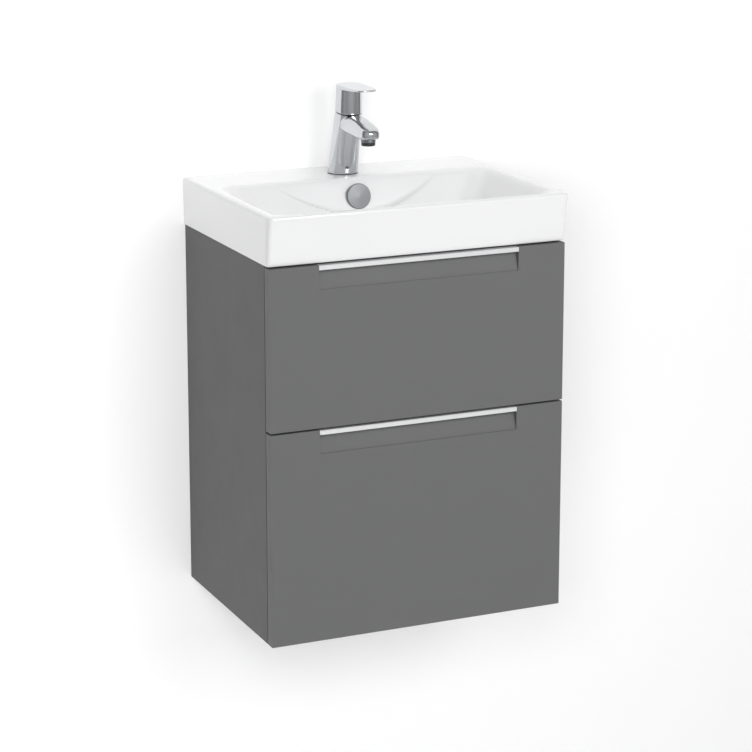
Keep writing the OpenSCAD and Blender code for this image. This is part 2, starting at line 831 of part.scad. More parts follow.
// Level disc or corner of the lever's top plate, at a reach in front of the cap's middle
module plate_disc(x, reach, r, t) {
    rod_z([x, cap_y - reach, deck_z + lever_h - t], r, t);
}

module tap_lever() {
    foot_s = seam_gap;
    front_r = 13;
    plate_r = top_r - 1;
    color(chrome) difference() {
        union() {
            difference() {
                union() {
                    hull() {
                        column_frame() translate([0, 0, foot_s]) cylinder(r = top_r, h = 0.5, $fn = 64);
                        plate_disc(0, 0, plate_r, 1);
                    }
                    hull() {
                        plate_disc(0, 0, plate_r, 6);
                        for (s = [LEFT, RIGHT])
                            plate_disc(s * (plate_r - front_r), paddle_len - front_r, front_r, 3);
                    }
                }
                column_frame() translate([0, 0, foot_s - 1]) cylinder(r = cap_in_r, h = cap_in_len + 1);
                lift_relief();
            }
            column_frame() both_sides() {
                translate([5, pivot_y - ear_r, pivot_s])
                    cube([4, 2 * ear_r, cap_in_len + foot_s + 1 - pivot_s]);
                rod_x([5, pivot_y, pivot_s], ear_r, 4);
            }
        }
        column_frame() rod_x([-10, pivot_y, pivot_s], pin_r + fit, 20);
    }
}

// Clears the cap's back foot when the lever is lifted about its pin
module lift_relief() {
    drop = pivot_s - 0.5;
    column_frame() translate([0, pivot_y, pivot_s]) rotate([lift_angle, 0, 0])
        translate([-top_r - 2, -30, -drop - 12]) cube([2 * top_r + 4, 60, 12]);
}

module tap_stud() {
    color(zinc) rod_z([0, stud_y, deck_z - 48], stud_r, 48 + 14);
}

module tap_clamp_plate() {
    z = deck_z - ceramic_t - 3;
    color(zinc) difference() {
        rod_z([0, tap_y + 2, z], tap_hole_r + 6, 3);
        rod_z([0, stud_y, z - eps], stud_r + fit, 3 + 2 * eps);
        translate([-hose_slot / 2, tap_y - 40, z - eps]) cube([hose_slot, 45, 3 + 2 * eps]);
    }
}

module tap_clamp_nut() {
    z = deck_z - ceramic_t - 3 - 8;
    color("goldenrod") difference() {
        translate([0, stud_y, z]) cylinder(r = 7.5, h = 8, $fn = 6);
        rod_z([0, stud_y, z - eps], stud_r + fit, 8 + 2 * eps);
    }
}

// ---------- waste and trap ----------

module waste_flange() {
    color(chrome) difference() {
        union() {
            rod_z([0, waste_y, bowl_floor_z], flange_r, flange_t);
            rod_z([0, waste_y, waste_foot_z], waste_r, bowl_floor_z - waste_foot_z + eps);
        }
        difference() {
            rod_z([0, waste_y, waste_foot_z - 1], waste_r - 4, bowl_floor_z + flange_t + 2 - waste_foot_z);
            rod_z([0, waste_y, bowl_floor_z - 26], plug_stem_r + 3, 20);
            for (turn = [0, 120, 240])
                translate([0, waste_y, bowl_floor_z - 26]) rotate([0, 0, turn]) translate([0, -1.5, 0])
                    cube([waste_r, 3, 20]);
        }
        rod_z([0, waste_y, bowl_floor_z - 30], plug_stem_r + fit, 30);
    }
}

module waste_plug() {
    z = bowl_floor_z + flange_t;
    color(chrome) union() {
        translate([0, waste_y, z]) rotate_extrude() polygon([
            [0, 0], [flange_r - 3, 0], [flange_r - 1.5, 1.5], [flange_r - 1.5, 3], [flange_r - 3, 4.6], [0, 6]
        ]);
        rod_z([0, waste_y, bowl_floor_z - 24], plug_stem_r, 24 + flange_t + eps);
    }
}

module waste_gasket() {
    color("dimgray") difference() {
        rod_z([0, waste_y, basin_under_z - gasket_t], flange_r, gasket_t);
        rod_z([0, waste_y, basin_under_z - gasket_t - eps], waste_r + 0.1, gasket_t + 2 * eps);
    }
}

module waste_nut() {
    color(white_plastic) difference() {
        translate([0, waste_y, basin_under_z - gasket_t - waste_nut_t])
            cylinder(r = waste_r + 8, h = waste_nut_t, $fn = 8);
        rod_z([0, waste_y, basin_under_z - gasket_t - waste_nut_t - eps], waste_r + fit, waste_nut_t + 2 * eps);
    }
}

// Flat bend under the waste, a level pipe to the rear and a bend down into the trap
module trap_inlet_pipe() {
    in_r = pipe_r - pipe_t;
    socket_r = waste_r + 3;
    down_z = bottle_z[0] + 16;
    color(white_plastic) difference() {
        union() {
            rod_z([0, waste_y, inlet_z - pipe_r], socket_r, waste_foot_z + 12 - inlet_z + pipe_r);
            rod_y([0, waste_y, inlet_z], pipe_r, trap_y - waste_y);
            translate([0, trap_y, inlet_z]) sphere(r = pipe_r);
            rod_z([0, trap_y, down_z], pipe_r, inlet_z - down_z);
        }
        rod_z([0, waste_y, inlet_z - in_r], waste_r - 4, waste_foot_z - inlet_z + in_r + eps);
        rod_z([0, waste_y, waste_foot_z], waste_r + 0.1, 13);
        rod_y([0, waste_y, inlet_z], in_r, trap_y - waste_y);
        translate([0, trap_y, inlet_z]) sphere(r = in_r);
        rod_z([0, trap_y, down_z - 1], in_r, inlet_z - down_z + 1);
    }
}

module trap_bottle() {
    wall = 2.5;
    color(white_plastic) difference() {
        union() {
            rod_z([0, trap_y, bottle_z[0]], bottle_r, bottle_z[1] - bottle_z[0]);
            rod_y([0, trap_y, outlet_z], pipe_r + 2.5, 38);
        }
        rod_z([0, trap_y, bottle_z[0] + wall], bottle_r - wall, bottle_z[1] - bottle_z[0] - 2 * wall);
        rod_z([0, trap_y, bottle_z[1] - wall - 1], pipe_r + 0.1, wall + 2);
        rod_y([0, trap_y + 15, outlet_z], pipe_r - pipe_t, 10);
        rod_y([0, trap_y + 24, outlet_z], pipe_r + 0.1, 15);
    }
}

module ring_nut(r_out, r_in, h) {
    difference() {
        cylinder(r = r_out, h = h, $fn = 12);
        translate([0, 0, -eps]) cylinder(r = r_in, h = h + 2 * eps);
    }
}

module trap_nuts() {
    color("white") {
        translate([0, trap_y, bottle_z[1]]) ring_nut(trap_nut_r, pipe_r + 0.1, trap_nut_len);
        translate([0, trap_y + 38, outlet_z]) rotate([-90, 0, 0]) ring_nut(trap_nut_r, pipe_r + 0.1, 6);
        translate([0, waste_y, waste_foot_z + 12]) ring_nut(waste_r + 5, waste_r + 0.1, 3.5);
    }
}

// Straight pipe into the wall, with a stop ring behind its spigot
module trap_outlet_pipe() {
    color(white_plastic) difference() {
        union() {
            rod_y([0, trap_y + 25, outlet_z], pipe_r, -trap_y - 25);
            rod_y([0, -spigot_len - 1.5, outlet_z], pipe_r + 1.5, 1.5);
        }
        rod_y([0, trap_y + 24, outlet_z], pipe_r - pipe_t, -trap_y - 24 + eps);
    }
}

placed() side_panel(LEFT);  // side_panel_left
placed() side_panel(RIGHT);  // side_panel_right
placed() bottom_panel();
placed() cross_rail(rails[0]);  // front_rail_top
placed() cross_rail(rails[1]);  // front_rail_middle
placed() cross_rail(rails[2]);  // back_rail_upper
placed() cross_rail(rails[3]);  // back_rail_lower
placed() carcass_dowels();
placed() cam_fittings();
placed() hanger_housing(LEFT);  // hanger_housing_left
placed() hanger_housing(RIGHT);  // hanger_housing_right
placed() hanger_hook(LEFT);  // hanger_hook_left
placed() hanger_hook(RIGHT);  // hanger_hook_right
placed() hanger_screws();
placed() wall_plates();
placed() cabinet_rail(LEFT, upper_z);  // upper_rail_left
placed() cabinet_rail(RIGHT, upper_z);  // upper_rail_right
placed() cabinet_rail(LEFT, lower_z);  // lower_rail_left
placed() cabinet_rail(RIGHT, lower_z);  // lower_rail_right
placed() rail_screws();
placed() basin();
placed() overflow_cover();
placed() waste_flange();
placed() waste_gasket();
placed() waste_nut();
placed() waste_plug();
placed() trap_inlet_pipe();
placed() trap_bottle();
placed() trap_nuts();
placed() trap_outlet_pipe();
placed() tap_body();
placed() tap_base_seal();
placed() tap_aerator();
placed() tap_cartridge();
placed() tap_cartridge_nut();
placed() tap_spindle();
placed() tap_lever_pin();
placed() tap_lever();
placed() tap_stud();
placed() tap_clamp_plate();
placed() tap_clamp_nut();
placed() drawer_front(upper_foot, upper_front_h);  // upper_front
placed() handle(upper_top);  // upper_handle
placed() handle_screws(upper_top);  // upper_handle_screws
placed() drawer_side(LEFT, upper_z, upper_side_h);  // upper_side_left
placed() drawer_side(RIGHT, upper_z, upper_side_h);  // upper_side_right
placed() upper_floor();
placed() upper_back();
placed() upper_trap_surround();
placed() slide_member(LEFT, upper_z);  // upper_slide_left
placed() slide_member(RIGHT, upper_z);  // upper_slide_right
placed() drawer_front(0, lower_front_h);  // lower_front
placed() handle(lower_front_h);  // lower_handle
placed() handle_screws(lower_front_h);  // lower_handle_screws
placed() drawer_side(LEFT, lower_z, lower_side_h);  // lower_side_left
placed() drawer_side(RIGHT, lower_z, lower_side_h);  // lower_side_right
placed() lower_floor();
placed() lower_back();
placed() slide_member(LEFT, lower_z);  // lower_slide_left
placed() slide_member(RIGHT, lower_z);  // lower_slide_right
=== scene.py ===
"""Looks of the wall-hung vanity cabinet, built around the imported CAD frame. Metres, row frame."""
import json
import math

import bmesh
import bpy
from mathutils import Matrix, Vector


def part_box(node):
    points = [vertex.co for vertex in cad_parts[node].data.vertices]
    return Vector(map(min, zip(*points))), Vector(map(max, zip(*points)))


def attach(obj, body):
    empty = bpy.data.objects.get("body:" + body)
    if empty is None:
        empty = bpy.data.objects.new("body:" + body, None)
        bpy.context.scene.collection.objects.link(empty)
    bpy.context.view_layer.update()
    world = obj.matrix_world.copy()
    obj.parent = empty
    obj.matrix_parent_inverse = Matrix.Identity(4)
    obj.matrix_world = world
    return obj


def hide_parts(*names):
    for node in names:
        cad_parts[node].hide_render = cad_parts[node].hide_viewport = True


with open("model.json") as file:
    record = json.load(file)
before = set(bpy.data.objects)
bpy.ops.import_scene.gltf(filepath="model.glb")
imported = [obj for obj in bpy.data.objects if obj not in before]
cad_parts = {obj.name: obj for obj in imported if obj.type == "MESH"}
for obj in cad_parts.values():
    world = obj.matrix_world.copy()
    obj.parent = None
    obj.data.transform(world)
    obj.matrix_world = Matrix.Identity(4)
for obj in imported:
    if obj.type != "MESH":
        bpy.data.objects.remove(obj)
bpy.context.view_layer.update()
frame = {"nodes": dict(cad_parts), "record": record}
MM = 0.001


# ---------- materials ----------

def new_material(name, base, rough, metal=0.0, coat=0.0, coat_rough=0.05, spec=0.5):
    """A Principled material; constants go straight on the shader's sockets."""
    mat = bpy.data.materials.new(name)
    mat.use_nodes = True
    mat.diffuse_color = (*base, 1)
    shader = mat.node_tree.nodes["Principled BSDF"]
    shader.inputs["Base Color"].default_value = (*base, 1)
    shader.inputs["Roughness"].default_value = rough
    shader.inputs["Metallic"].default_value = metal
    shader.inputs["Coat Weight"].default_value = coat
    shader.inputs["Coat Roughness"].default_value = coat_rough
    shader.inputs["Specular IOR Level"].default_value = spec
    return mat


def object_coords(mat, scale=(1, 1, 1)):
    tree = mat.node_tree
    coords = tree.nodes.new("ShaderNodeTexCoord")
    mapping = tree.nodes.new("ShaderNodeMapping")
    mapping.inputs["Scale"].default_value = scale
    tree.links.new(coords.outputs["Object"], mapping.inputs["Vector"])
    return mapping.outputs["Vector"]


def noise(mat, scale, detail=4.0, rough=0.55, stretch=(1, 1, 1)):
    node = mat.node_tree.nodes.new("ShaderNodeTexNoise")
    node.inputs["Scale"].default_value = scale
    node.inputs["Detail"].default_value = detail
    node.inputs["Roughness"].default_value = rough
    mat.node_tree.links.new(object_coords(mat, stretch), node.inputs["Vector"])
    return node.outputs["Fac"]


def spread(mat, value, low, high):
    """Maps a 0-1 noise value to the range low-high."""
    node = mat.node_tree.nodes.new("ShaderNodeMapRange")
    node.inputs["From Min"].default_value = 0.3
    node.inputs["From Max"].default_value = 0.7
    node.inputs["To Min"].default_value = low
    node.inputs["To Max"].default_value = high
    mat.node_tree.links.new(value, node.inputs["Value"])
    return node.outputs["Result"]


def vary_colour(mat, value, dark, light):
    ramp = mat.node_tree.nodes.new("ShaderNodeValToRGB")
    ramp.color_ramp.elements[0].position = 0.3
    ramp.color_ramp.elements[1].position = 0.7
    ramp.color_ramp.elements[0].color = (*dark, 1)
    ramp.color_ramp.elements[1].color = (*light, 1)
    mat.node_tree.links.new(value, ramp.inputs["Fac"])
    shader = mat.node_tree.nodes["Principled BSDF"]
    mat.node_tree.links.new(ramp.outputs["Color"], shader.inputs["Base Color"])


def vary_roughness(mat, value, low, high):
    shader = mat.node_tree.nodes["Principled BSDF"]
    mat.node_tree.links.new(spread(mat, value, low, high), shader.inputs["Roughness"])


def bump(mat, value, height, strength=1.0):
    node = mat.node_tree.nodes.new("ShaderNodeBump")
    node.inputs["Distance"].default_value = height
    node.inputs["Strength"].default_value = strength
    mat.node_tree.links.new(value, node.inputs["Height"])
    shader = mat.node_tree.nodes["Principled BSDF"]
    mat.node_tree.links.new(node.outputs["Normal"], shader.inputs["Normal"])


def shade(colour, factor):
    return tuple(min(1.0, c * factor) for c in colour)


def finish_material(name, base, rough, vary, scale, grain, height, stretch=(1, 1, 1), **kw):
    """A material whose colour and roughness drift slowly and whose surface has a fine grain."""
    mat = new_material(name, base, rough, **kw)
    vary_colour(mat, noise(mat, scale), shade(base, 1 - vary), shade(base, 1 + vary))
    vary_roughness(mat, noise(mat, scale * 3, 3), rough * 0.94, rough * 1.06)
    bump(mat, noise(mat, grain, 3, stretch=stretch), height)
    return mat


# The carcass grey is set darker than the fronts' grey. It is the board's own grey plus painted shade for the
# carcass sides, which face away from the light.
FRONT_GREY = (0.147, 0.149, 0.148)
SHADED_SIDE_GREY = (0.128, 0.128, 0.128)

mats = {
    "carcass_board": finish_material("grey_melamine_painted_shade", SHADED_SIDE_GREY, 0.62, 0.004, 9, 900, 0.00002, spec=0.3),
    "drawer_front": finish_material("grey_lacquer", FRONT_GREY, 0.55, 0.004, 7, 1100, 0.000015, spec=0.25),
    "drawer_board": finish_material("white_board", (0.74, 0.74, 0.73), 0.55, 0.02, 12, 600, 0.00004),
    "dowel_wood": finish_material("beech", (0.62, 0.42, 0.24), 0.7, 0.18, 60, 900, 0.0001,
                                  stretch=(0.1, 1, 1)),
    "zinc_plated": finish_material("zinc_plate", (0.55, 0.56, 0.57), 0.34, 0.05, 40, 900, 0.00002, metal=1.0,
                                   stretch=(0.15, 1, 1)),
    "drawer_steel": finish_material("powder_coat", (0.66, 0.665, 0.67), 0.45, 0.015, 20, 1600, 0.00005),
    "ceramic": finish_material("glazed_ceramic", (0.86, 0.862, 0.868), 0.16, 0.006, 5, 22, 0.00006, coat=0.5),
    "chrome": finish_material("chrome_plate", (0.6, 0.615, 0.63), 0.12, 0.015, 18, 40, 0.00002, metal=1.0),
    "satin_metal": finish_material("satin_chrome", (0.22, 0.228, 0.234), 0.46, 0.03, 50, 1500, 0.00002,
                                   metal=1.0),
    "brass": finish_material("turned_brass", (0.66, 0.47, 0.2), 0.3, 0.06, 60, 900, 0.00003, metal=1.0,
                             stretch=(1, 1, 0.1)),
    "dark_plastic": finish_material("black_plastic", (0.03, 0.03, 0.031), 0.45, 0.1, 60, 1500, 0.00004),
    "grey_plastic": finish_material("grey_plastic", (0.4, 0.4, 0.4), 0.5, 0.04, 60, 1500, 0.00004),
    "rubber": finish_material("black_rubber", (0.035, 0.035, 0.035), 0.75, 0.1, 60, 1200, 0.00006),
    "white_plastic": finish_material("white_polypropylene", (0.72, 0.72, 0.705), 0.38, 0.015, 30, 1300,
                                     0.00004),
    "handle_aluminium": finish_material("satin_aluminium", (0.9, 0.905, 0.91), 0.38, 0.01, 40, 900, 0.00001,
                                        metal=0.6, stretch=(0.05, 1, 1)),
}


def dress(obj, slot):
    obj.data.materials.clear()
    obj.data.materials.append(mats[slot])


# Every CAD node takes its slot's finish; sharp-edged pieces get a small rounding that catches the light
ROUNDED = {"carcass_board": 0.0008, "drawer_front": 0.0012, "drawer_board": 0.0006, "drawer_steel": 0.0005,
           "white_plastic": 0.0006, "handle_aluminium": 0.0004, "zinc_plated": 0.0002}
for part in frame["record"]["subparts"]:
    node = frame["nodes"][part["node"]]
    slot = part["material_slot"]
    node.data.materials.clear()
    node.data.materials.append(mats[slot])
    if slot in ROUNDED:
        weld = node.modifiers.new("weld", "WELD")
        weld.merge_threshold = 0.00001
        bevel = node.modifiers.new("edges", "BEVEL")
        bevel.width = ROUNDED[slot]
        bevel.segments = 2
        bevel.limit_method = "ANGLE"
        bevel.angle_limit = math.radians(50)
        bevel.harden_normals = True


# ---------- mesh helpers ----------

def mesh_object(name, verts, faces, slot):
    mesh = bpy.data.meshes.new(name)
    mesh.from_pydata(verts, [], faces)
    mesh.validate()
    work = bmesh.new()
    work.from_mesh(mesh)
    bmesh.ops.recalc_face_normals(work, faces=work.faces)
    work.to_mesh(mesh)
    work.free()
    obj = bpy.data.objects.new(name, mesh)
    bpy.context.scene.collection.objects.link(obj)
    dress(obj, slot)
    return obj


def smooth(obj, angle=35):
    for poly in obj.data.polygons:
        poly.use_smooth = True
    obj.data.set_sharp_from_angle(angle=math.radians(angle))


def loft(rings, close_ends=False, close_round=False):
    """Vertices and quads of closed rings that all have the same number of points."""
    verts = [p for ring in rings for p in ring]
    n = len(rings[0])
    faces = []
    last = len(rings) if close_round else len(rings) - 1
    for i in range(last):
        a, b = i * n, (i + 1) % len(rings) * n
        faces += [(a + j, a + (j + 1) % n, b + (j + 1) % n, b + j) for j in range(n)]
    if close_ends:
        faces.append(tuple(reversed(range(n))))
        faces.append(tuple(range((len(rings) - 1) * n, len(rings) * n)))
    return verts, faces


def apply_modifiers(obj):
    bpy.context.view_layer.update()
    deps = bpy.context.evaluated_depsgraph_get()
    made = bpy.data.meshes.new_from_object(obj.evaluated_get(deps))
    old = obj.data
    obj.modifiers.clear()
    obj.data = made
    bpy.data.meshes.remove(old)


# ---------- basin ----------

# Points along each stretch of a ring
SIDE_PTS = 46
FRONT_PTS = 80
BACK_PTS = 170
CORNER_PTS = 10

# Sizes of the ceramic that the basin's box doesn't give
DECK_DEPTH = 112 * MM
RIM_SIDE = 20 * MM
RIM_FRONT = 17 * MM
BOWL_DEPTH = 118 * MM
BOWL_CORNER = 30 * MM
FLOOR_CORNER = 34 * MM
FLOOR_IN_SIDE = 102 * MM
FLOOR_IN_BACK = 93 * MM
FLOOR_IN_FRONT = 60 * MM
SKIRT_WALL = 11 * MM
FRONT_LEAN = 12 * MM
FOOT_INSET = 1 * MM
NICHE_HALF = 146 * MM
NICHE_LENGTH = 66 * MM
NICHE_DIP = 14.5 * MM
NICHE_TURN = 0.8
NICHE_EASE = 1.5
SLOPE = math.atan2(FLOOR_IN_BACK, BOWL_DEPTH)


def rounded_ring(half_x, front_y, back_y, front_r, back_r, z):
    """A rounded rectangle, anticlockwise from the front left corner's end, with a fixed number of points."""
    ring = []

    def side(p, q, count):
        for k in range(count):
            t = k / count
            ring.append((p[0] + (q[0] - p[0]) * t, p[1] + (q[1] - p[1]) * t, z))

    def corner(cx, cy, r, start):
        for k in range(CORNER_PTS):
            a = math.radians(start + 90 * k / CORNER_PTS)
            ring.append((cx + r * math.cos(a), cy + r * math.sin(a), z))

    side((-half_x + front_r, front_y), (half_x - front_r, front_y), FRONT_PTS)
    corner(half_x - front_r, front_y + front_r, front_r, -90)
    side((half_x, front_y + front_r), (half_x, back_y - back_r), SIDE_PTS)
    corner(half_x - back_r, back_y - back_r, back_r, 0)
    side((half_x - back_r, back_y), (-half_x + back_r, back_y), BACK_PTS)
    corner(-half_x + back_r, back_y - back_r, back_r, 90)
    side((-half_x, back_y - back_r), (-half_x, front_y + front_r), SIDE_PTS)
    corner(-half_x + front_r, front_y + front_r, front_r, 180)
    return ring


def mix(p, q, t):
    return tuple(a + (b - a) * t for a, b in zip(p, q))


def mix_rings(ring_a, ring_b, t):
    return [mix(p, q, t) for p, q in zip(ring_a, ring_b)]


def between(ring_a, ring_b, steps, ends=False):
    """Rings from a to b, without the two themselves unless ends is set."""
    ks = range(steps + 1) if ends else range(1, steps)
    return [mix_rings(ring_a, ring_b, k / steps) for k in ks]


def turn(ring_a, ring_b, ring_c, steps):
    """Rings that round the edge b between a and c, both ends included."""
    out = []
    for k in range(steps + 1):
        t = k / steps
        out.append([mix(mix(p, q, t), mix(q, r, t), t) for p, q, r in zip(ring_a, ring_b, ring_c)])
    return out


def circle_about(ring, middle_y, radius, z):
    """The ring's points moved onto a level circle."""
    out = []
    for x, y, _ in ring:
        a = math.atan2(y - middle_y, x)
        out.append((radius * math.cos(a), middle_y + radius * math.sin(a), z))
    return out


def grown(ring, middle_y, outwards, down):
    """The ring pushed away from the bowl's middle and lowered."""
    out = []
    for x, y, z in ring:
        d = Vector((x, y - middle_y)).normalized()
        out.append((x + d.x * outwards, y + d.y * outwards, z - down))
    return out


def basin_rings():
    """Rings of outer skirt, rim, bowl and underside, with the spans that the niche is pressed into."""
    low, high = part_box("basin")
    cab_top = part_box("side_panel_left")[1].z
    deck, half, front = high.z, high.x, low.y
    foot_half, foot_front = half - FOOT_INSET, front + FRONT_LEAN
    edge, in_edge = 7 * MM, 9 * MM
    chamfer = 1.2 * MM
    boss = 14 * MM

    # outer skirt: its foot, the shoulder where the edge's rounding starts, and the brim
    foot = rounded_ring(foot_half, foot_front, 0, 7 * MM, 2 * MM, cab_top + chamfer)
    foot_in = rounded_ring(foot_half - chamfer, foot_front + chamfer, -chamfer, 6 * MM, 2 * MM, cab_top)
    shoulder_t = edge / (deck - cab_top)
    shoulder = rounded_ring(half - FOOT_INSET * shoulder_t, front + FRONT_LEAN * shoulder_t, 0,
                            8 * MM, 2 * MM, deck - edge)
    brim = rounded_ring(half, front, 0, 8 * MM, 2 * MM, deck)
    top_out = rounded_ring(half - edge, front + edge, -3 * MM, 7 * MM, 2 * MM, deck)

    # bowl: its opening, the rounded lip, the heel above the floor and the floor
    bowl_half, bowl_back, bowl_front = half - RIM_SIDE, -DECK_DEPTH, front + RIM_FRONT
    bowl_top = rounded_ring(bowl_half, bowl_front, bowl_back, BOWL_CORNER, BOWL_CORNER, deck)
    floor_back, floor_front = bowl_back - FLOOR_IN_BACK, bowl_front + FLOOR_IN_FRONT
    floor = rounded_ring(bowl_half - FLOOR_IN_SIDE, floor_front, floor_back, FLOOR_CORNER, FLOOR_CORNER,
                         deck - BOWL_DEPTH)
    lip = rounded_ring(bowl_half + in_edge, bowl_front - in_edge, bowl_back + in_edge, 34 * MM, 34 * MM, deck)
    below = mix_rings(bowl_top, floor, in_edge / BOWL_DEPTH)
    heel = mix_rings(bowl_top, floor, 1 - 26 * MM / BOWL_DEPTH)

    # waste hole
    waste_y = (floor_back + floor_front) / 2 + 12 * MM
    floor_in = mix_rings(floor, circle_about(floor, waste_y, 10 * MM, deck - BOWL_DEPTH), 0.22)
    waste = circle_about(floor, waste_y, 23 * MM, deck - BOWL_DEPTH)
    waste_low = circle_about(floor, waste_y, 23 * MM, deck - BOWL_DEPTH - boss)

    # underside: the bowl's outside, the deck's underside and the skirt's inner face
    middle_y = (bowl_back + bowl_front) / 2
    roof_z = deck - 13 * MM
    under_floor = grown(floor, middle_y, 9 * MM, boss)
    under_top = grown(mix_rings(bowl_top, floor, 20 * MM / BOWL_DEPTH), middle_y, 11 * MM, 0)
    under_top = [(x, y, roof_z) for x, y, _ in under_top]
    inner = foot_half - SKIRT_WALL
    roof = rounded_ring(inner - 1 * MM, foot_front + SKIRT_WALL, -14 * MM, 4 * MM, 4 * MM, roof_z)
    inner_foot = rounded_ring(inner, foot_front + SKIRT_WALL, -14 * MM, 4 * MM, 4 * MM, cab_top)

    rings = [foot_in]
    rings += between(foot, shoulder, 10, ends=True)
    rings += turn(shoulder, brim, top_out, 8)[1:]
    rings += between(top_out, lip, 10)
    slope_first = len(rings)
    rings += turn(lip, bowl_top, below, 8)
    rings += between(below, heel, 34)
    slope_last = len(rings)
    rings += turn(heel, floor, floor_in, 10)
    rings += between(floor_in, waste, 8)
    rings += [waste, waste_low, under_floor]
    under_first = len(rings)
    rings += between(under_floor, under_top, 24)
    rings += [under_top]
    under_last = len(rings)
    rings += between(under_top, roof, 3)
    rings += [roof, inner_foot]
    return rings, ((slope_first, slope_last), (under_first, under_last))


def niche_share(u):
    """Share of the cove's greatest depth against the way down it: a slope, then a rounded shelf."""
    if u < NICHE_TURN:
        return u / NICHE_TURN
    return 1 - ((u - NICHE_TURN) / (1 - NICHE_TURN)) ** NICHE_EASE


def carve_niche(verts, first_ring, last_ring, per_ring):
    """Presses the cove into the bowl's back slope, between the given rings."""
    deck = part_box("basin")[1].z
    first_back = FRONT_PTS + 2 * CORNER_PTS + SIDE_PTS
    for i in range(first_ring, last_ring):
        for j in range(first_back - CORNER_PTS, first_back + BACK_PTS + CORNER_PTS):
            x, y, z = verts[i * per_ring + j]
            share = 1 - (x / NICHE_HALF) ** 2
            s = (-DECK_DEPTH - y) * math.sin(SLOPE) + (deck - z) * math.cos(SLOPE)
            if share <= 0 or not 0 < s < NICHE_LENGTH * share:
                continue
            press = NICHE_DIP * share ** NICHE_EASE * niche_share(s / (NICHE_LENGTH * share))
            verts[i * per_ring + j] = (x, y + press * math.cos(SLOPE), z - press * math.sin(SLOPE))


def make_basin():
    rings, niche_spans = basin_rings()
    verts, faces = loft(rings, close_round=True)
    for first_ring, last_ring in niche_spans:
        carve_niche(verts, first_ring, last_ring, len(rings[0]))
    obj = mesh_object("basin_ceramic", verts, faces, "ceramic")
    smooth(obj, 38)
    return obj


basin = make_basin()
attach(basin, "cabinet")
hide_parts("basin")


# ---------- tap ----------

ROUND_PTS = 64
SEAM_R = 21.5 * MM
INNER_SHARE = 0.02      # size of the small ring that closes an end face

# Spout sections: distance in front of the tap's middle, underside and top above the deck, half width
SPOUT_SECTIONS_MM = (
    (14, 72, 95, 13), (30, 71.5, 98.3, 17), (44, 71, 97.2, 17), (54, 70.5, 98.2, 17),
    (64, 70, 97.4, 17), (76, 69.5, 95.5, 17), (90, 69, 92.5, 17), (102, 68.6, 89, 17),
    (110, 68.8, 86.6, 15.2), (115, 69.6, 84, 12), (118, 71.4, 81.4, 7.6), (119.2, 73.6, 79.4, 2.5))


def circle_ring(centre, radius, tilt=0.0, count=ROUND_PTS):
    """A circle whose plane leans forward by tilt about X."""
    ring = []
    for k in range(count):
        a = 2 * math.pi * k / count
        x, y = radius * math.cos(a), radius * math.sin(a)
        ring.append((centre[0] + x, centre[1] + y * math.cos(tilt), centre[2] + y * math.sin(tilt)))
    return ring


def scaled_ring(ring, factor):
    c = [sum(p[i] for p in ring) / len(ring) for i in range(3)]
    return [mix(c, p, factor) for p in ring]


def section_ring(y, foot, top, half, count=ROUND_PTS):
    """A spout section square to Y: two half superellipses, rounder above than below."""
    ring = []
    widest_share, top_power, foot_power = 0.38, 3.4, 4.5
    mid = foot + (top - foot) * widest_share
    for k in range(count):
        a = 2 * math.pi * k / count
        c, s = math.cos(a), math.sin(a)
        power = top_power if s > 0 else foot_power
        r = (abs(c) ** power + abs(s) ** power) ** (-1 / power)
        ring.append((half * r * c, y, mid + r * s * ((top - mid) if s > 0 else (mid - foot))))
    return ring


def soften(obj, voxel, passes):
    """Joins overlapping closed forms into one skin and eases its edges, as polishing does."""
    remesh = obj.modifiers.new("skin", "REMESH")
    remesh.mode = "VOXEL"
    remesh.voxel_size = voxel
    remesh.use_smooth_shade = True
    ease = obj.modifiers.new("ease", "SMOOTH")
    ease.factor = 0.5
    ease.iterations = passes
    apply_modifiers(obj)
    for poly in obj.data.polygons:
        poly.use_smooth = True


def join_forms(name, forms, slot):
    verts, faces = [], []
    for v, f in forms:
        base = len(verts)
        verts += v
        faces += [tuple(i + base for i in face) for face in f]
    return mesh_object(name, verts, faces, slot)


seal_low, seal_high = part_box("tap_base_seal")
tap_y = (seal_low.y + seal_high.y) / 2
deck_z = seal_low.z
foot_r = seal_high.x + 0.6 * MM
spindle_joint = [j for j in frame["record"]["behaviour"]["joints"] if j["name"] == "tap_swivel"][0]
seam_at = Vector(spindle_joint["pos_m"])
seam_axis = Vector(spindle_joint["axis"]).normalized()
seam_tilt = math.atan2(-seam_axis.y, seam_axis.z)


def up(point, distance):
    return tuple(Vector(point) + seam_axis * distance)


def closed(rings):
    """The rings with a small one at each end, so that the end faces are rings of quads."""
    return [scaled_ring(rings[0], INNER_SHARE)] + rings + [scaled_ring(rings[-1], INNER_SHARE)]


def make_tap_body():
    """Leaning column and spout, joined into one polished skin."""
    foot = circle_ring((0, tap_y, seal_high.z), foot_r)
    seam = circle_ring(tuple(seam_at), SEAM_R, seam_tilt)
    column = closed(between(foot, seam, 12, ends=True))
    spout = [section_ring(tap_y - ahead * MM, deck_z + low * MM, deck_z + high * MM, half * MM)
             for ahead, low, high, half in SPOUT_SECTIONS_MM]
    body = join_forms("tap_body_chrome", [loft(column, True), loft(spout, True)], "chrome")
    soften(body, 0.8 * MM, 5)
    return body


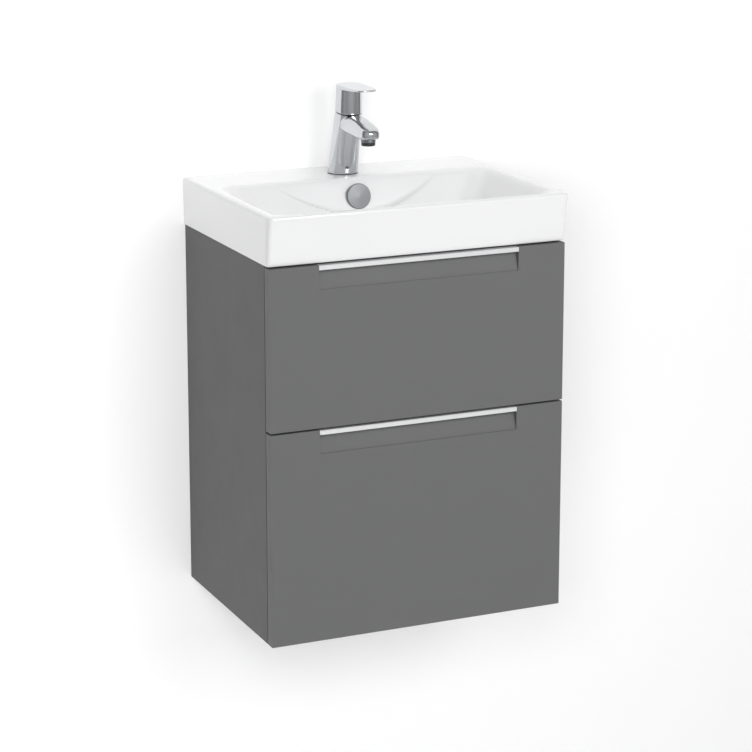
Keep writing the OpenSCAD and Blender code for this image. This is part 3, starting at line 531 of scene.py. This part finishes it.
def make_lever():
    """Cap over the cartridge with the flat paddle on top, joined into one polished skin."""
    cad_low, cad_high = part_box("tap_lever")
    top = cad_high.z
    cap_y = seam_at.y - 2 * MM
    cap_r = 20.5 * MM
    seam_gap = 1.3 * MM
    edge_r = 0.8 * MM
    reach = cap_y - cad_low.y
    foot = circle_ring(up(seam_at, seam_gap), SEAM_R, seam_tilt)
    head = circle_ring((0, cap_y, top - 0.6 * MM), cap_r)
    crown = circle_ring((0, cap_y, top), cap_r - edge_r)
    cap = closed(between(foot, head, 8, ends=True) + [crown])
    back_steps, side_steps = 24, 40
    side_power, front_power = 0.52, 0.6
    swell = 1.5 * MM

    def plate_outline():
        """A tongue: half circle at the back, near-straight sides and a rounded front."""
        pts = []
        for k in range(back_steps + 1):
            a = math.pi * k / back_steps
            pts.append((cap_r * math.cos(a), cap_r * math.sin(a)))
        left = []
        for k in range(1, side_steps):
            a = math.pi / 2 * k / side_steps
            x = cap_r * math.cos(a) ** side_power + swell * math.sin(2 * a)
            left.append((-x, -reach * math.sin(a) ** front_power))
        return pts + left + [(0, -reach)] + [(-x, y) for x, y in reversed(left)]

    outline = plate_outline()

    def level(inset, depth_at):
        """The outline drawn in by inset, lowered by a depth that depends on how far forward it is."""
        k = 1 - inset / cap_r
        ring = []
        for x, y in outline:
            ahead = max(0.0, min(1.0, -y / reach))
            ring.append((x * k, cap_y + (y + reach / 2) * k - reach / 2, top - depth_at(ahead)))
        return ring

    # the plate thins from the cap to its front edge
    face = level(edge_r, lambda ahead: 0)
    edge = level(0.0, lambda ahead: 0.7 * MM)
    heel = level(0.0, lambda ahead: (6.0 - 3.8 * ahead) * MM)
    under = level(1.0 * MM, lambda ahead: (6.8 - 3.9 * ahead) * MM)
    plate_inner = 0.05
    plate = [scaled_ring(face, plate_inner), face, edge, heel, under, scaled_ring(under, plate_inner)]
    lever = join_forms("tap_lever_chrome", [loft(cap, True), loft(plate, True)], "chrome")
    soften(lever, 0.6 * MM, 3)
    return lever


def turned(name, profile, centre, slot, count=48):
    """A piece turned about an upright axis from (radius, height) pairs."""
    rings = [circle_ring((centre[0], centre[1], centre[2] + z), r, count=count) for r, z in profile]
    verts, faces = loft(rings, True)
    obj = mesh_object(name, verts, faces, slot)
    smooth(obj, 40)
    return obj


tap_body = make_tap_body()
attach(tap_body, "cabinet")
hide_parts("tap_body")
tap_lever = make_lever()
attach(tap_lever, "tap_lever")
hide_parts("tap_lever")

aer_low, aer_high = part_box("tap_aerator")
aer_at = (0, (aer_low.y + aer_high.y) / 2, aer_low.z)
collar = turned("aerator_collar", [(9.6 * MM, 5.4 * MM), (11 * MM, 5.4 * MM), (11.4 * MM, 5.8 * MM),
                                   (11.4 * MM, 11.6 * MM), (11 * MM, 12.4 * MM)], aer_at, "satin_metal")
insert = turned("aerator_insert", [(3 * MM, 1.6 * MM), (8.6 * MM, 1.4 * MM), (9.4 * MM, 0), (10.4 * MM, 0),
                                   (11 * MM, 0.7 * MM), (11.1 * MM, 5.2 * MM), (9.6 * MM, 5.6 * MM)],
                aer_at, "dark_plastic")
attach(collar, "cabinet")
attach(insert, "cabinet")
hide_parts("tap_aerator")


# ---------- stage, camera, light ----------

def plane(name, centre, size_x, size_y, rotation, mat):
    mesh = bpy.data.meshes.new(name)
    x, y = size_x / 2, size_y / 2
    mesh.from_pydata([(-x, -y, 0), (x, -y, 0), (x, y, 0), (-x, y, 0)], [], [(0, 1, 2, 3)])
    obj = bpy.data.objects.new(name, mesh)
    obj.location = centre
    obj.rotation_euler = rotation
    obj.data.materials.append(mat)
    bpy.context.scene.collection.objects.link(obj)
    return obj


def backdrop_material():
    """White plaster seen from the front only, so that views from behind the wall show the object."""
    mat = new_material("wall_plaster", (0.93, 0.93, 0.93), 0.9, spec=0.1)
    tree = mat.node_tree
    shader = tree.nodes["Principled BSDF"]
    geometry = tree.nodes.new("ShaderNodeNewGeometry")
    clear = tree.nodes.new("ShaderNodeBsdfTransparent")
    choose = tree.nodes.new("ShaderNodeMixShader")
    tree.links.new(geometry.outputs["Backfacing"], choose.inputs["Fac"])
    tree.links.new(shader.outputs["BSDF"], choose.inputs[1])
    tree.links.new(clear.outputs["BSDF"], choose.inputs[2])
    tree.links.new(choose.outputs["Shader"], tree.nodes["Material Output"].inputs["Surface"])
    return mat


floor_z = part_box("side_panel_left")[0].z - 0.6
wall = plane("wall", (0, 0.002, floor_z + 1.5), 9, 3.0, (math.radians(90), 0, 0), backdrop_material())
wall.visible_shadow = False
floor_mat = new_material("pale_floor", (0.93, 0.93, 0.93), 0.8, spec=0.1)
floor = plane("floor", (0, -2.5, floor_z), 12, 9, (0, 0, 0), floor_mat)

cam_data = bpy.data.cameras.new("camera")
cam_data.sensor_width = 36
cam_data.lens = 120.98
cam_data.shift_y = -0.1
cam_data.clip_end = 50
camera = bpy.data.objects.new("camera", cam_data)
camera.location = (-1.5731, -3.7238, 0.8324)
camera.rotation_euler = (math.pi / 2 - 0.2283, 0, -0.4194)
bpy.context.scene.collection.objects.link(camera)
bpy.context.scene.camera = camera


def area_light(name, location, target, size, power, size_y=None):
    data = bpy.data.lights.new(name, "AREA")
    data.shape = "RECTANGLE"
    data.size = size
    data.size_y = size_y or size
    data.energy = power
    light = bpy.data.objects.new(name, data)
    light.location = location
    direction = Vector(target) - Vector(location)
    light.rotation_euler = direction.to_track_quat("-Z", "Y").to_euler()
    bpy.context.scene.collection.objects.link(light)
    return light


def backdrop_collection(name, state):
    """The wall and floor as the objects that a lamp reaches alone, or leaves out."""
    group = bpy.data.collections.new(name)
    for k, obj in enumerate((wall, floor)):
        group.objects.link(obj)
        group.collection_objects[k].light_linking.link_state = state
    return group


# The key lights the object only; the wall and floor have their own lamps, which leave a soft shade
wash_only = backdrop_collection("backdrop_only", "INCLUDE")
key = area_light("key", (0.5, -3.1, 1.4), (0, -0.2, 0), 1.3, 53)
key.light_linking.receiver_collection = backdrop_collection("all_but_backdrop", "EXCLUDE")
for name, x, power in (("wall_wash_left", -1.35, 34), ("wall_wash_right", 0.35, 15)):
    area_light(name, (x, -2.9, 0.75), (0, 0, 0), 1.0, power).light_linking.receiver_collection = wash_only
fill = area_light("wall_fill", (0, -2.9, 0.6), (0, 0, 0), 1.0, 17)
fill.data.use_shadow = False
fill.light_linking.receiver_collection = wash_only


def studio_world(even, front, above):
    """Soft surroundings: even light, more from the front and more from above."""
    world = bpy.data.worlds.new("studio")
    world.use_nodes = True
    tree = world.node_tree
    coords = tree.nodes.new("ShaderNodeTexCoord")
    parts = tree.nodes.new("ShaderNodeSeparateXYZ")
    tree.links.new(coords.outputs["Generated"], parts.inputs["Vector"])

    def math_node(operation, a, b):
        node = tree.nodes.new("ShaderNodeMath")
        node.operation = operation
        for socket, value in zip(node.inputs, (a, b)):
            if isinstance(value, (int, float)):
                socket.default_value = value
            else:
                tree.links.new(value, socket)
        return node.outputs[0]

    ahead = math_node("MAXIMUM", math_node("MULTIPLY", parts.outputs["Y"], -1), 0)
    over = math_node("MAXIMUM", parts.outputs["Z"], 0)
    total = math_node("ADD", math_node("ADD", math_node("MULTIPLY", ahead, front), even),
                      math_node("MULTIPLY", over, above))
    tree.links.new(total, tree.nodes["Background"].inputs["Strength"])
    tree.nodes["Background"].inputs["Color"].default_value = (1, 1, 1, 1)
    return world


world = studio_world(0.2, 0.44, 0.05)
bpy.context.scene.world = world
bpy.context.scene.view_settings.view_transform = "Standard"
